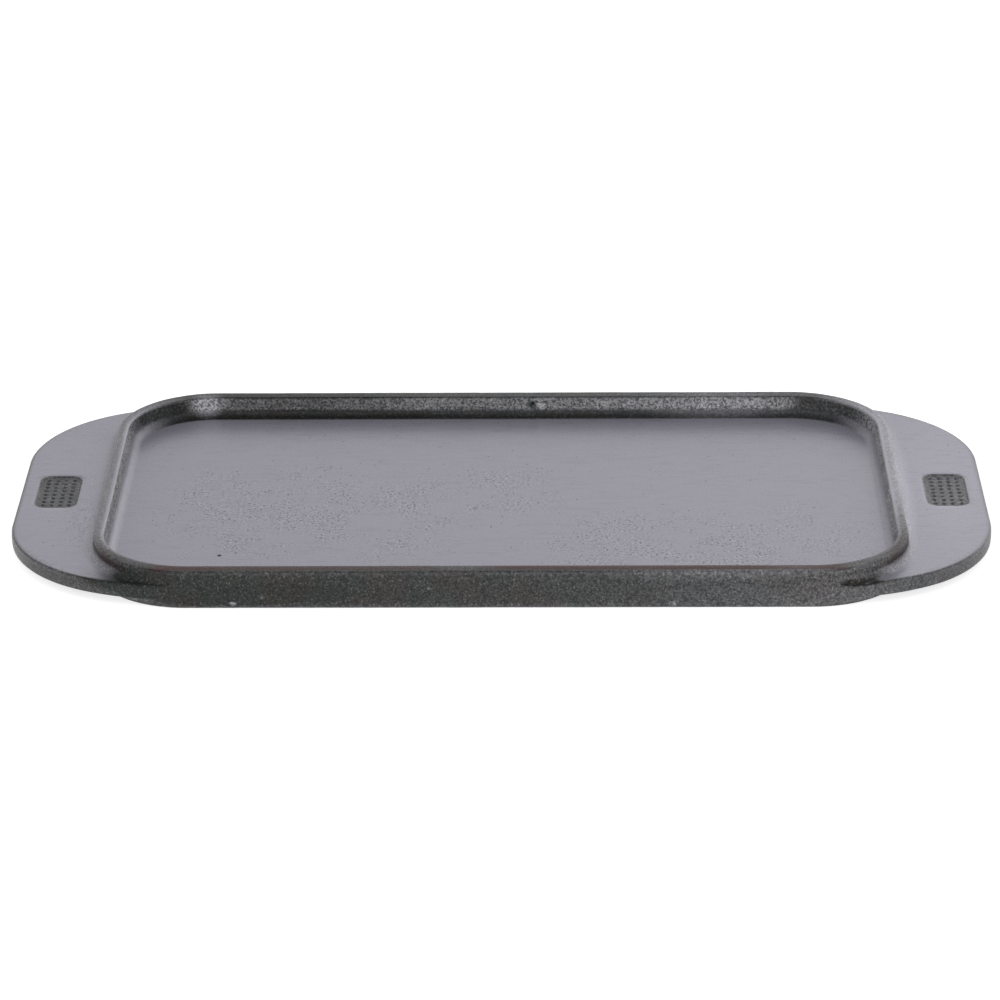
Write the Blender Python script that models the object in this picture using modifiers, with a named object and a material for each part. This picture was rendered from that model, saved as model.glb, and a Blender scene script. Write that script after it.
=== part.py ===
"""Reversible cast iron griddle: a smooth tray on top, ribs underneath, a flat handle at each end.

The real pan is one casting. It is divided here where its plate, rims, ribs and handles meet.
+X runs along the pan, +Z is up with the smooth side on top, and the pan stands on z = 0.
"""

import math

import bmesh
import bpy

MM = 0.001

# The pan seen from above
PAN_LENGTH = 412 * MM
PAN_WIDTH = 240 * MM
PAN_CORNER_RADIUS = 51 * MM

# The pan from the ground up
GRILL_DEPTH = 4.5 * MM
PLATE_THICKNESS = 4.5 * MM
TRAY_DEPTH = 11 * MM

# Its walls, which lean in towards their crests so that the casting leaves the sand
WALL_DRAFT = 0.5 * MM
CREST_EDGE_RADIUS = 1.4 * MM
TRAY_RIM_WIDTH = 5.7 * MM
TRAY_WALL_ANGLE = math.radians(25)
TRAY_FILLET_RADIUS = 5 * MM
FOOT_WIDTH = 8 * MM
GRILL_WALL_ANGLE = math.radians(20)
GRILL_FILLET_RADIUS = 1.5 * MM

# The ribs of the grill side
RIB_PITCH = 15 * MM
RIB_BASE_WIDTH = 7 * MM
RIB_CREST_WIDTH = 4.4 * MM
RIB_CREST_ROUND = 0.7 * MM
RIB_HEIGHT = 4.1 * MM
GREASE_CHANNEL_WIDTH = 10 * MM

# The handles, flat tongues whose corners sweep round into the pan's long sides
HANDLE_REACH = 44 * MM
HANDLE_THICKNESS = 7.8 * MM
HANDLE_CORNER_RADIUS = 75 * MM
HANDLE_CORNER_SWEEP = math.radians(63)
HANDLE_SHOULDER_RADIUS = 112 * MM
HANDLE_EDGE_RADIUS = 1.2 * MM
HANDLE_TIP_INSET = 16 * MM

# The shallow thumb rest in the top of each handle
THUMB_REST_LENGTH = 42 * MM
THUMB_REST_WIDTH = 22 * MM
THUMB_REST_CORNER_RADIUS = 7 * MM
THUMB_REST_DEPTH = 0.8 * MM
THUMB_REST_SETBACK = 19.5 * MM

# Clearance between a handle and the wall that it grows from
ROOT_GAP = 0.3 * MM

# How far a cutter runs past the faces that it cuts
CUT_OVERRUN = 5 * MM

# Steps of a quarter turn in plan, and of a rounded edge or fillet
CORNER_STEPS = 20
EDGE_STEPS = 3
FILLET_STEPS = 6

# Faces that meet at more than this angle meet in an edge
SHARP_ANGLE = math.radians(40)

PLATE_UNDERSIDE = GRILL_DEPTH
FLOOR = PLATE_UNDERSIDE + PLATE_THICKNESS
RIM_TOP = FLOOR + TRAY_DEPTH
HANDLE_TOP = PLATE_UNDERSIDE + HANDLE_THICKNESS
HANDLE_END = PAN_LENGTH / 2 + HANDLE_REACH

# Heights are kept to the micrometre, so that two faces that meet share one plane
HEIGHT_DECIMALS = 6


def new_collection(name):
    """Add a collection to the scene."""
    collection = bpy.data.collections.new(name)
    bpy.context.scene.collection.children.link(collection)
    return collection


def new_material(name, colour, roughness, metallic):
    """A plain finish with one colour."""
    material = bpy.data.materials.new(name)
    material.use_nodes = True
    shader = material.node_tree.nodes["Principled BSDF"]
    shader.inputs["Base Color"].default_value = (*colour, 1)
    shader.inputs["Roughness"].default_value = roughness
    shader.inputs["Metallic"].default_value = metallic
    material.diffuse_color = (*colour, 1)
    return material


def arc(centre, radius, start, end, steps):
    """Points along an arc, both of its ends included."""
    angles = [start + (end - start) * i / steps for i in range(steps + 1)]
    return [(centre[0] + radius * math.cos(a), centre[1] + radius * math.sin(a)) for a in angles]


def rounded_rectangle(length, width, radius, steps=CORNER_STEPS):
    """Outline of a rectangle with round corners about the origin, anticlockwise."""
    x = length / 2 - radius
    y = width / 2 - radius
    quarter = math.pi / 2
    points = []
    for turn, centre in enumerate([(x, y), (-x, y), (-x, -y), (x, -y)]):
        points += arc(centre, radius, turn * quarter, (turn + 1) * quarter, steps)
    return points


def pan_outline(inset):
    """The pan's outline in plan, moved inwards by the inset."""
    return rounded_rectangle(PAN_LENGTH - 2 * inset, PAN_WIDTH - 2 * inset, PAN_CORNER_RADIUS - inset)


def poly_curve(name, points):
    """A closed flat curve through the points."""
    curve = bpy.data.curves.new(name, "CURVE")
    curve.dimensions = "2D"
    spline = curve.splines.new("POLY")
    spline.points.add(len(points) - 1)
    for point, (x, y) in zip(spline.points, points):
        point.co = (x, y, 0, 1)
    spline.use_cyclic_u = True
    return bpy.data.objects.new(name, curve)


def curve_to_mesh(source, collection):
    """Replace a curve object by the closed mesh of its surface, under the same name."""
    collection.objects.link(source)
    bpy.context.view_layer.update()
    depsgraph = bpy.context.evaluated_depsgraph_get()
    mesh = bpy.data.meshes.new_from_object(source.evaluated_get(depsgraph))
    name = source.name
    matrix = source.matrix_world.copy()
    curve = source.data
    bpy.data.objects.remove(source)
    bpy.data.curves.remove(curve)

    mesh.transform(matrix)
    work = bmesh.new()
    work.from_mesh(mesh)
    for vert in work.verts:
        vert.co.z = round(vert.co.z, HEIGHT_DECIMALS)
    bmesh.ops.remove_doubles(work, verts=work.verts, dist=0.001 * MM)
    bmesh.ops.recalc_face_normals(work, faces=work.faces)
    work.to_mesh(mesh)
    work.free()

    mesh.name = name
    solid = bpy.data.objects.new(name, mesh)
    collection.objects.link(solid)
    return solid


def flat_solid(name, points, low, high, collection):
    """The outline in plan, filled from one height to another."""
    blank = poly_curve(name, points)
    blank.data.fill_mode = "BOTH"
    blank.data.extrude = (high - low) / 2
    blank.location.z = (low + high) / 2
    return curve_to_mesh(blank, collection)


def swept_wall(name, section, collection):
    """Carry a section round the pan's outline: its x is the depth in from the outside, its y the height."""
    profile = poly_curve(name + "_section", section)
    collection.objects.link(profile)
    path = poly_curve(name, pan_outline(0))
    path.data.bevel_mode = "OBJECT"
    path.data.bevel_object = profile
    wall = curve_to_mesh(path, collection)
    profile_curve = profile.data
    bpy.data.objects.remove(profile)
    bpy.data.curves.remove(profile_curve)
    return wall


def wall_section(root, crest, crest_width, angle, fillet):
    """Section of a wall that stands on the plate at height root and ends in a flat crest.

    The outer side is drafted, and the inner side leans by the angle and runs into the plate in a fillet.
    """
    rise = abs(crest - root)
    up = math.copysign(1, crest - root)
    outer = arc((WALL_DRAFT + CREST_EDGE_RADIUS, rise - CREST_EDGE_RADIUS), CREST_EDGE_RADIUS,
                math.pi, math.pi / 2, EDGE_STEPS)
    centre_x = crest_width + (rise - fillet) * math.tan(angle) + fillet / math.cos(angle)
    inner = arc((centre_x, fillet), fillet, math.pi + angle, 1.5 * math.pi, FILLET_STEPS)
    section = [(0, 0), *outer, (crest_width, rise), *inner]
    return [(x, root + up * y) for x, y in section]


def inner_foot_inset():
    """Depth in from the outside at which the grill side's wall has run out into the plate."""
    section = wall_section(PLATE_UNDERSIDE, 0, FOOT_WIDTH, GRILL_WALL_ANGLE, GRILL_FILLET_RADIUS)
    return section[-1][0]


def round_edges(solid, width, segments):
    """Round every sharp edge of a solid."""
    bevel = solid.modifiers.new("edges", "BEVEL")
    bevel.width = width
    bevel.segments = segments
    bevel.limit_method = "ANGLE"
    bevel.angle_limit = SHARP_ANGLE


def cut(solid, cutter):
    """Take the cutter out of the solid."""
    boolean = solid.modifiers.new(cutter.name, "BOOLEAN")
    boolean.operation = "DIFFERENCE"
    boolean.solver = "EXACT"
    boolean.object = cutter
    cutter.hide_render = True
    cutter.display_type = "WIRE"


def handle_outline():
    """Plan of the handle at +X: a straight end, two corners and two shoulders down the pan's long sides."""
    corner = (HANDLE_END - HANDLE_CORNER_RADIUS,
              PAN_WIDTH / 2 - HANDLE_SHOULDER_RADIUS
              + (HANDLE_SHOULDER_RADIUS - HANDLE_CORNER_RADIUS) * math.sin(HANDLE_CORNER_SWEEP))
    shoulder = (corner[0] - (HANDLE_SHOULDER_RADIUS - HANDLE_CORNER_RADIUS) * math.cos(HANDLE_CORNER_SWEEP),
                PAN_WIDTH / 2 - HANDLE_SHOULDER_RADIUS)
    tip = PAN_LENGTH / 2 - PAN_CORNER_RADIUS + HANDLE_TIP_INSET
    shoulder_start = math.acos(min(1, max(0, (tip - shoulder[0]) / HANDLE_SHOULDER_RADIUS)))
    half = arc(corner, HANDLE_CORNER_RADIUS, 0, HANDLE_CORNER_SWEEP, CORNER_STEPS)
    half += arc(shoulder, HANDLE_SHOULDER_RADIUS, HANDLE_CORNER_SWEEP, shoulder_start, EDGE_STEPS * 2)[1:]
    return half + [(x, -y) for x, y in reversed(half)]


def make_handle(side, turn, collection, cutters):
    """A handle, turned about the pan's middle and cut to fit round the pan's end, with its thumb rest."""
    handle = flat_solid(side + "_handle", handle_outline(), PLATE_UNDERSIDE, HANDLE_TOP, collection)
    handle.rotation_euler.z = turn
    round_edges(handle, HANDLE_EDGE_RADIUS, EDGE_STEPS)

    above = HANDLE_TOP + CUT_OVERRUN
    below = PLATE_UNDERSIDE - CUT_OVERRUN
    pan_space = flat_solid(side + "_pan_space", pan_outline(-ROOT_GAP), below, above, cutters)
    pan_space.parent = handle
    cut(handle, pan_space)

    middle = HANDLE_END - THUMB_REST_SETBACK
    rest_outline = rounded_rectangle(THUMB_REST_WIDTH, THUMB_REST_LENGTH, THUMB_REST_CORNER_RADIUS)
    rest_outline = [(middle + x, y) for x, y in rest_outline]
    thumb_rest = flat_solid(side + "_thumb_rest", rest_outline, HANDLE_TOP - THUMB_REST_DEPTH, above, cutters)
    thumb_rest.parent = handle
    cut(handle, thumb_rest)
    return handle


def make_rib(name, half_length, collection):
    """A straight bar under the plate with round ends, narrower at its crest."""
    base = RIB_BASE_WIDTH / 2
    spine = half_length - base
    turn = math.pi / 2
    steps = EDGE_STEPS * 2
    outline = arc((spine, 0), base, -turn, turn, steps)
    outline += arc((-spine, 0), base, turn, 3 * turn, steps)
    crest = PLATE_UNDERSIDE - RIB_HEIGHT
    rib = flat_solid(name, outline, crest, PLATE_UNDERSIDE, collection)

    work = bmesh.new()
    work.from_mesh(rib.data)
    crest_verts = {vert for vert in work.verts if vert.co.z < PLATE_UNDERSIDE - RIB_HEIGHT / 2}
    for vert in crest_verts:
        nearest = min(spine, max(-spine, vert.co.x))
        vert.co.x = nearest + (vert.co.x - nearest) * RIB_CREST_WIDTH / RIB_BASE_WIDTH
        vert.co.y *= RIB_CREST_WIDTH / RIB_BASE_WIDTH
    weight = work.edges.layers.float.new("bevel_weight_edge")
    for edge in work.edges:
        on_crest = crest_verts.issuperset(edge.verts)
        edge[weight] = on_crest and edge.calc_face_angle() > SHARP_ANGLE
    work.to_mesh(rib.data)
    work.free()

    bevel = rib.modifiers.new("crest", "BEVEL")
    bevel.width = RIB_CREST_ROUND
    bevel.segments = 2
    bevel.limit_method = "WEIGHT"
    return rib


def rib_places():
    """Where the ribs run and how far each reaches, one grease channel clear of the rim."""
    inset = inner_foot_inset() + GREASE_CHANNEL_WIDTH
    field_x = PAN_LENGTH / 2 - inset
    field_y = PAN_WIDTH / 2 - inset
    radius = max(RIB_BASE_WIDTH, PAN_CORNER_RADIUS - inset)
    each_side = int((field_y - RIB_BASE_WIDTH / 2) / RIB_PITCH)
    places = []
    for i in range(-each_side, each_side + 1):
        y = i * RIB_PITCH
        into_corner = max(0, abs(y) + RIB_BASE_WIDTH / 2 - (field_y - radius))
        places.append((y, field_x - radius + math.sqrt(max(0, radius ** 2 - into_corner ** 2))))
    return places


def finish(solid, material):
    """Give a solid its material, with its round faces shaded smooth."""
    solid.data.materials.clear()
    solid.data.materials.append(material)
    solid.data.shade_smooth()
    solid.data.set_sharp_from_angle(angle=SHARP_ANGLE)


def build():
    """Make every part of the griddle."""
    for thing in list(bpy.data.objects):
        bpy.data.objects.remove(thing)
    griddle = new_collection("reversible_griddle")
    cutters = new_collection("cutters")

    cooking_face = new_material("seasoned_iron_smooth", (0.19, 0.185, 0.2), 0.5, 0.3)
    as_cast = new_material("seasoned_iron_as_cast", (0.07, 0.072, 0.072), 0.6, 0.3)
    handle_iron = new_material("seasoned_iron_handle", (0.2, 0.195, 0.21), 0.5, 0.3)
    rib_iron = new_material("seasoned_iron_ribs", (0.09, 0.09, 0.092), 0.55, 0.3)

    plate = flat_solid("griddle_plate", pan_outline(0), PLATE_UNDERSIDE, FLOOR, griddle)
    finish(plate, cooking_face)

    tray_section = wall_section(FLOOR, RIM_TOP, TRAY_RIM_WIDTH, TRAY_WALL_ANGLE, TRAY_FILLET_RADIUS)
    finish(swept_wall("griddle_rim", tray_section, griddle), as_cast)

    foot_section = wall_section(PLATE_UNDERSIDE, 0, FOOT_WIDTH, GRILL_WALL_ANGLE, GRILL_FILLET_RADIUS)
    finish(swept_wall("grill_rim", foot_section, griddle), as_cast)

    for side, turn in (("right", 0), ("left", math.pi)):
        finish(make_handle(side, turn, griddle, cutters), handle_iron)

    for number, (y, half_length) in enumerate(rib_places(), 1):
        rib = make_rib(f"grill_rib_{number:02d}", half_length, griddle)
        rib.location.y = y
        finish(rib, rib_iron)


build()
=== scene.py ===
"""Looks of the reversible cast iron griddle: the rough casting, its finish and a plain studio.

The real griddle is one casting. Its skin is modelled here as one unbroken surface, and then divided
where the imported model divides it, so that each piece is closed and the seams between them don't show.
"""

import math
import random

import bmesh
import bpy
import numpy as np
from mathutils import Matrix, Vector, noise
from mathutils.geometry import delaunay_2d_cdt


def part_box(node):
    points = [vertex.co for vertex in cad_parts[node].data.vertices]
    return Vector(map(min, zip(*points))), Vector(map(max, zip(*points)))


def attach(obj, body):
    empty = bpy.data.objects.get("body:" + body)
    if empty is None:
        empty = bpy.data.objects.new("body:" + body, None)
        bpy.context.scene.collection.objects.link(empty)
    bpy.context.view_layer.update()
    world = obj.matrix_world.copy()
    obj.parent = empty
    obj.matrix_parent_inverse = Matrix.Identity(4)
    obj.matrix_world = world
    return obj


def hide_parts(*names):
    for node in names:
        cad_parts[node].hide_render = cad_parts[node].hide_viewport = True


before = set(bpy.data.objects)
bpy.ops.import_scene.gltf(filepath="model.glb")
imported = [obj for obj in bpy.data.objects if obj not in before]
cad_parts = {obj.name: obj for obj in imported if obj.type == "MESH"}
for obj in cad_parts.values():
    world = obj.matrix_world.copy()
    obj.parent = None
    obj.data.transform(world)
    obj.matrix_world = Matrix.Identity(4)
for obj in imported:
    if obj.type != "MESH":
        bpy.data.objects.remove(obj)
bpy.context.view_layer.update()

MM = 0.001
rng = random.Random(7)

# Sizes are in millimetres up to the finished meshes, and angles in degrees. The frame gives the places of
# pan, rims and handles, and the skin keeps the rough casting inside them.
SKIN = 0.12
plate_low, plate_high = [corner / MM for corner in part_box("griddle_plate")]
handle_low, handle_high = [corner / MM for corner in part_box("right_handle")]
HALF_LENGTH = plate_high.x - SKIN
HALF_WIDTH = plate_high.y - SKIN
UNDERSIDE = plate_low.z
FLOOR = plate_high.z
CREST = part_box("griddle_rim")[1].z / MM - SKIN
HANDLE_END = handle_high.x - SKIN
HANDLE_TOP = handle_high.z
HANDLE_LOW = handle_low.z

# The pan's corners and walls. The tray's rim is wider by the extra along the front and the back.
CORNER_RADIUS = 51 - SKIN
WALL_DRAFT = 0.5
TRAY_RIM_WIDTH = 5.7
TRAY_RIM_EXTRA = 2.4
TRAY_WALL_LEAN = 13
TRAY_FILLET = 5.0
FOOT_WIDTH = 8.0
GRILL_WALL_LEAN = 20
GRILL_FILLET = 1.5
INNER_EDGE = 0.7
OUTER_EDGE = 1.4
FOOT_EDGE = 1.2

# The handles: the radius of their corners, that of the shoulders where they run into the pan, and how
# far round a corner turns before its shoulder begins
HANDLE_CORNER = 75.0
HANDLE_SHOULDER = 112.0
HANDLE_SWEEP = math.radians(63)
HANDLE_EDGE = 1.2
ROOT_FILLET = 3.2

# How often the search for a handle's reach halves its step, and the least reach that counts
HALVINGS = 40
LEAST_REACH = 0.05

# The ribs of the grill side
RIB_BASE = 7.0
RIB_CREST = 4.4
RIB_FILLET = 1.0
RIB_ROUND = 0.7

# Points of a rib's section, as shares: the middle of its fillet, sideways and down, the fillet's end, two
# places down its side, and the middle of its rounded edge, sideways and up
RIB_FILLET_MIDDLE = (0.35, 0.12)
RIB_FILLET_END = 0.7
RIB_SIDE = (0.35, 0.6)
RIB_ROUND_MIDDLE = (0.3, 0.28)

# The thumb rest in each handle, and the round dimples that fill it inside a border
REST_WIDTH = 22.0
REST_LENGTH = 42.0
REST_CORNER = 7.0
REST_DEPTH = 0.8
REST_SETBACK = 19.5
DIMPLE_COLUMNS = 4
DIMPLE_ROWS = 8
DIMPLE_RADIUS = 1.35
DIMPLE_DEPTH = 0.9
DIMPLE_BORDER = (4.0, 4.5)

# The rounded step round the thumb rest: insets from its outline, and shares of its depth
REST_EDGE = [(-0.5, 0.0), (-0.1, 0.12), (0.25, 0.56), (0.6, 0.9), (1.1, 1.0)]

# Rings of points round a pit or a dimple: a share of its radius, a share of its depth, how many points
PIT_RINGS = [(0.0, -1.0, 1), (0.5, -0.85, 6), (0.85, -0.3, 10), (1.1, 0.0, 12), (1.5, 0.0, 12)]

# Pits in the ground flats. The tray's largest is a place, a radius and a depth. The others have radii
# between two limits, and a depth that is a share of their radius.
TRAY_PIT = (-141.8, -74.7, 1.15, 1.0)
TRAY_PITS = 45
TRAY_PIT_RADII = (0.2, 0.36)
HANDLE_PITS = 5
HANDLE_PIT_RADII = (0.2, 0.34)
PIT_DEPTH = 0.8

# How far pits keep from the walls, from each other and from other points, and where a handle has them:
# how far from the pan, from its end and to each side
PIT_MARGIN = 4
PIT_SPACING = 5
PIT_CLEARANCE = 0.7
PITS_FROM_PAN = 8
PITS_FROM_END = 6
PITS_TO_SIDE = 70

# How closely the mesh is spaced: round the walls, over the flats, over the grill side, along the ribs and
# round the thumb rests
COLUMN_STEP = 1.25
FLAT_STEP = 3.0
GRILL_STEP = 3.6
RIB_STEP = 4.0
REST_STEP = 1.3

# How far the points inside a flat keep from its edge, from the ribs and from the thumb rest
FLAT_MARGIN = 1.6
GRILL_MARGIN = 2.0
RIB_MARGIN = 1.2
REST_MARGIN = 2.0

# How far they are shifted: as a share of their spacing, and in millimetres on a handle
SHIFT = 0.2
HANDLE_SHIFT = 0.25

# Numbers of steps over the tray's wall and rim: fillet, wall, inner edge, crest and outer edge
FILLET_STEPS, WALL_STEPS, INNER_STEPS, CREST_STEPS, OUTER_STEPS = 8, 8, 3, 4, 4

# Numbers of steps in the parts of the outer wall, from the crest down
UPPER_STEPS, ROOT_STEPS, EDGE_STEPS, BAND_STEPS, LOWER_STEPS = 6, 5, 3, 4, 2

# Numbers of steps over the foot, from its outer edge over its flat and inner edge to its fillet
FOOT_EDGE_STEPS, FOOT_STEPS, FOOT_INNER_STEPS, FOOT_FILLET_STEPS = 3, 4, 2, 4

# Numbers of steps round the end of a rib, and the fewest round a corner
RIB_END_STEPS = 8
LEAST_STEPS = 4

# How many decimals of a millimetre tell points apart, and how near each other a flat joins them
DECIMALS = 5
SAME_PLACE = 1e-5

# How far below a flat its cast skin is left, and how deep in the iron its inner seams lie
SUNK = 0.15
HIDDEN_DEPTH = 1.6

# How the iron was left, with painted light and shade in some finishes: how gritty (0 is ground smooth)
# and how dark (0 is the ground flats' grey)
FINISHES = {
    "ground": (0.0, 0.0),
    # painted shade on the tray's fillet along the front and the back; at the ends the fillet stays light
    "tray_fillet_painted_shade": (0.35, 0.97),
    "end_fillet": (0.1, 0.05),
    "tray_wall": (1.0, 0.46),
    # painted shade on the wall in the tray's back corners
    "corner_wall_painted_shade": (0.7, 0.98),
    "outer_wall": (0.75, 0.95),
    "crest": (0.65, 0.87),
    # painted highlight on the inner edge of the tray's rim at the ends
    "end_edge_painted_highlight": (0.2, 0.35),
    "inner_edge": (0.4, 0.9),
    "foot_edge": (0.5, 0.84),
    # painted light on the fillets along the handles' roots
    "root": (0.35, 0.2),
    "handle_round": (0.3, 0.8),
    "handle_edge": (0.35, 0.9),
    "sunk": (0.5, 0.88),
    "grill": (0.6, 0.85),
    "inside": (1.0, 1.0),
}

# How far the handle has to stand out for its own finish, which fades into the outer wall's: along its
# edge, and along its root
EDGE_FADE = 35.0
ROOT_FADE = 12.0

# How far round from the end to the back the tray's fillet has its full painted shade: the square of the
# sine of the turn
FILLET_FADE = 0.65

# The painted shade in the tray's dull back corners, at the left and the right: where along the turn from the
# back to the end it sets in, is full, begins to fade and is gone
PAINTED_SHADE_CORNERS = {-1: (14, 28, 64, 88), 1: (0, 9, 50, 76)}

# Waves in the skin, each a height, a width and the seed of its noise: the mould's slow swell, the coarse
# and the fine sand, and the crest's uneven height. The swell is deeper by its growth where sand was.
SWELL = (0.008, 60, 1)
SWELL_GROWTH = 10
COARSE_SAND = (0.08, 13, 2)
FINE_SAND = (0.07, 3.5, 3)
UNEVEN_CREST = (0.09, 38, 4)

# The rough skin has painted light to the right, by this much at the end, at the back and in front. To the
# left it has painted shade by a share of that, but its left end has painted light again. An end's finish
# begins and is full this far inside the end.
PAINTED_LIGHT_BACK = 0.16
PAINTED_LIGHT_FRONT = 0.18
PAINTED_SHADE_LEFT = 0.4
PAINTED_LIGHT_LEFT_END = 0.12
END_SPAN = (35, 5)

# Where the rim's crest was rubbed light, at the left and the right end: by how much, and the places along
# the rim, towards the back, where it begins and is full. It lost this share of its grit there.
CREST_DEPTH = 1.0
RUBBED_CREST = {-1: (0.34, -98, -60), 1: (0.75, -80, -20)}
RUBBED_GRIT = 0.5

# Oil that has dried brown on the front rim's crest: how far in from the front it lies, where it ends at
# both sides, how thick it is, its patches, and a dry place and a pool, each a place and a width
OIL_BAND = (2.6, 9.0)
OIL_ENDS = (176, 166)
OIL_LEVEL = 0.9
OIL_PATCHES = (0.5, 30, 5)
OIL_DRY = (-18, 16)
OIL_POOL = (-163, 14)

# The least and the most dark that the iron gets
DARK_LIMITS = (-0.6, 1.0)

# Marks of casting and use, and painted light and shade: a place, its reach along each axis, how far it
# stands out, how much darker
MARKS = [
    # a crevice where the right handle's top runs into the front wall, with painted shade in it
    ((173, -118, 12.5), (6, 4.5, 1.5), -0.7, 1.0),
    ((176, -117.5, 12.4), (8, 4.5, 1.9), -0.7, 1.0),
    ((180, -116.5, 12.4), (8, 4.5, 1.9), -0.7, 1.0),
    ((184, -115, 12.3), (6, 4.5, 1.5), -0.7, 1.0),
    # darker iron at the handles' front roots and low on the right end of the outer wall: dried oil, and
    # painted shade in the creases where the roots meet the wall
    ((-176, -114, 13), (30, 14, 8), 0.0, 0.45),
    ((-187, -112, 12.8), (26, 16, 5), 0.0, 0.5),
    ((-192, -103, 13), (26, 20, 8), 0.0, 0.25),
    ((184, -109, 13), (16, 10, 4), 0.0, 0.4),
    ((196, -85, 14), (12, 34, 7), 0.0, 0.3),
    # a lighter spot at the left root
    ((-181, -117, 12.5), (10, 5, 3), 0.0, -0.08),
    # the handles' flats, ground a little brighter, and the right one brighter still as painted light
    ((-228, 0, HANDLE_TOP), (90, 150, 3), 0.0, -0.07),
    ((228, 0, HANDLE_TOP), (90, 150, 3), 0.0, -0.17),
    # a painted highlight along the right handle's root
    ((207, 5, 13.5), (8, 120, 4), 0.0, -0.6),
    # painted shade on the left of the tray's back wall, a painted highlight at its left end and painted
    # light on its right
    ((-113, 111, 15), (90, 12, 12), 0.0, 0.25),
    ((-161, 112, 15), (13, 9, 9), 0.0, -1.0),
    ((115, 111, 15), (48, 12, 12), 0.0, -0.33),
    # a hole and lumps that the sand left in the tray's back wall, with painted shade in the hole and painted
    # light on the lumps
    ((15.5, 111, 15.5), (3.0, 5, 3.0), -0.8, 1.0),
    ((20.5, 111, 15), (3.0, 5, 3.0), 1.2, -0.8),
    ((55, 111, 15.5), (3.0, 5, 3.0), 1.0, -0.3),
    ((69, 111, 16.5), (3.4, 5, 2.6), 1.0, -0.3),
    # painted shade low on the left of the front wall, and painted light along the top on its right
    ((-140, -120, 8), (75, 8, 7), 0.0, 0.6),
    ((105, -120, 18.5), (75, 5, 5), 0.0, -0.14),
    # painted light on the right of the front rim's crest and low on the right of its wall
    ((135, -116, CREST), (110, 9, 2.5), 0.0, -0.11),
    ((150, -119, 7), (105, 14, 9), 0.0, -0.08),
    # a nick in the left handle's back edge, with painted shade in it
    ((-243, 79, 12.3), (2.2, 2.2, 1.2), -0.8, 0.6),
    # iron worn lighter along the bottom of the front wall, partly a painted highlight on its rounded edge,
    # and bright chips on it
    ((0, -120, 0.5), (900, 6, 3.0), 0.0, -0.12),
    ((-132, -120, 3.0), (2.4, 3, 1.2), -0.4, -1.8),
    ((-117, -120, 6.5), (1.4, 3, 3.4), -0.2, -0.9),
    ((-34.5, -120, 11), (1.0, 3, 1.0), -0.2, -1.2),
    ((86, -120, 2.8), (2.4, 3, 1.2), -0.3, -0.9),
]

# Where the ground iron's grain is open, and so its pinholes show: a place, its reach, how open
OPEN_GRAIN = [
    ((-122, -18, FLOOR), (70, 88, 30), 2.4),
    ((-62, -30, FLOOR), (60, 75, 30), 1.6),
    ((-5, 5, FLOOR), (50, 50, 30), 1.3),
    ((78, -70, FLOOR), (76, 66, 30), 2.2),
    ((150, -50, FLOOR), (60, 70, 30), 0.8),
    ((-213, -45, HANDLE_TOP), (16, 60, 10), 0.6),
]

# Where oil has browned the crest at the front corners: a place, its reach, how brown
BROWNED = [
    ((-194, -97, 17), (16, 20, 5), 0.42),
    ((197, -88, 18), (14, 34, 4), 0.38),
]

# The iron's patterns: the size of their bumps in millimetres, their detail and their roughness. The sand,
# its painted glints and the open grain are drawn coarser than the real 0.3 mm, so that they show.
PATTERNS = {"polish": (0.9, 2.0, 0.5), "clusters": (22, 3.0, 0.65), "grain": (1.3, 2.0, 0.6),
            "sand": (1.35, 4.0, 0.75), "glints": (1.1, 3.0, 0.5), "blotches": (17, 3.0, 0.5),
            "hues": (28, 2.0, 0.5)}

# How much of a pattern shows: its name, its levels at none and at all, and the shares if not 0 and 1
SHARES = {"cluster": ("clusters", 0.40, 0.57), "pore": ("grain", 0.575, 0.64),
          "speck": ("grain", 0.425, 0.36), "ridge": ("sand", 0.44, 0.56), "painted_glint": ("glints", 0.58, 0.65),
          "hue": ("hues", 0.42, 0.58), "blotch": ("blotches", 0.45, 0.7, 0.0, 0.25),
          "line": ("lines", 0.46, 0.32, 0.0, 0.25), "dull": ("polish", 0.3, 0.7, -0.03, 0.05)}

# The iron's tones: bare, and dark with oil, where that looks greenish and where brownish. The dark end
# also carries painted shade, and the glint tone is a painted highlight.
TONES = {"smooth": ("#93919d", "#1b1c1c", "#1b1c1c"), "hollow": ("#78777c", "#0d1311", "#15110f"),
         "ridge": ("#dcdbdf", "#343d39", "#403a35"), "painted_glint": ("#f4f4f4", "#636463", "#636463")}

# The paper that the griddle stands on: how far it reaches each way, in metres, and how far below the
# griddle it lies, in millimetres
PAPER_REACH = 6.0
PAPER_DROP = 0.1

# The camera's place, worked out from the photographed edges, in millimetres and degrees. Its long lens has
# the sensor's full width on 1000 pixels.
CAMERA_ELEVATION = 23.248
CAMERA_YAW = -0.707
CAMERA_ROLL = -0.406
CAMERA_DISTANCE = 2239.55
CAMERA_TARGET = (-1.148, 16.31, 0.0)
CAMERA_LENS = 153.83
CAMERA_SENSOR = 36
CAMERA_SIGHT = 20000


# Outlines

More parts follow.
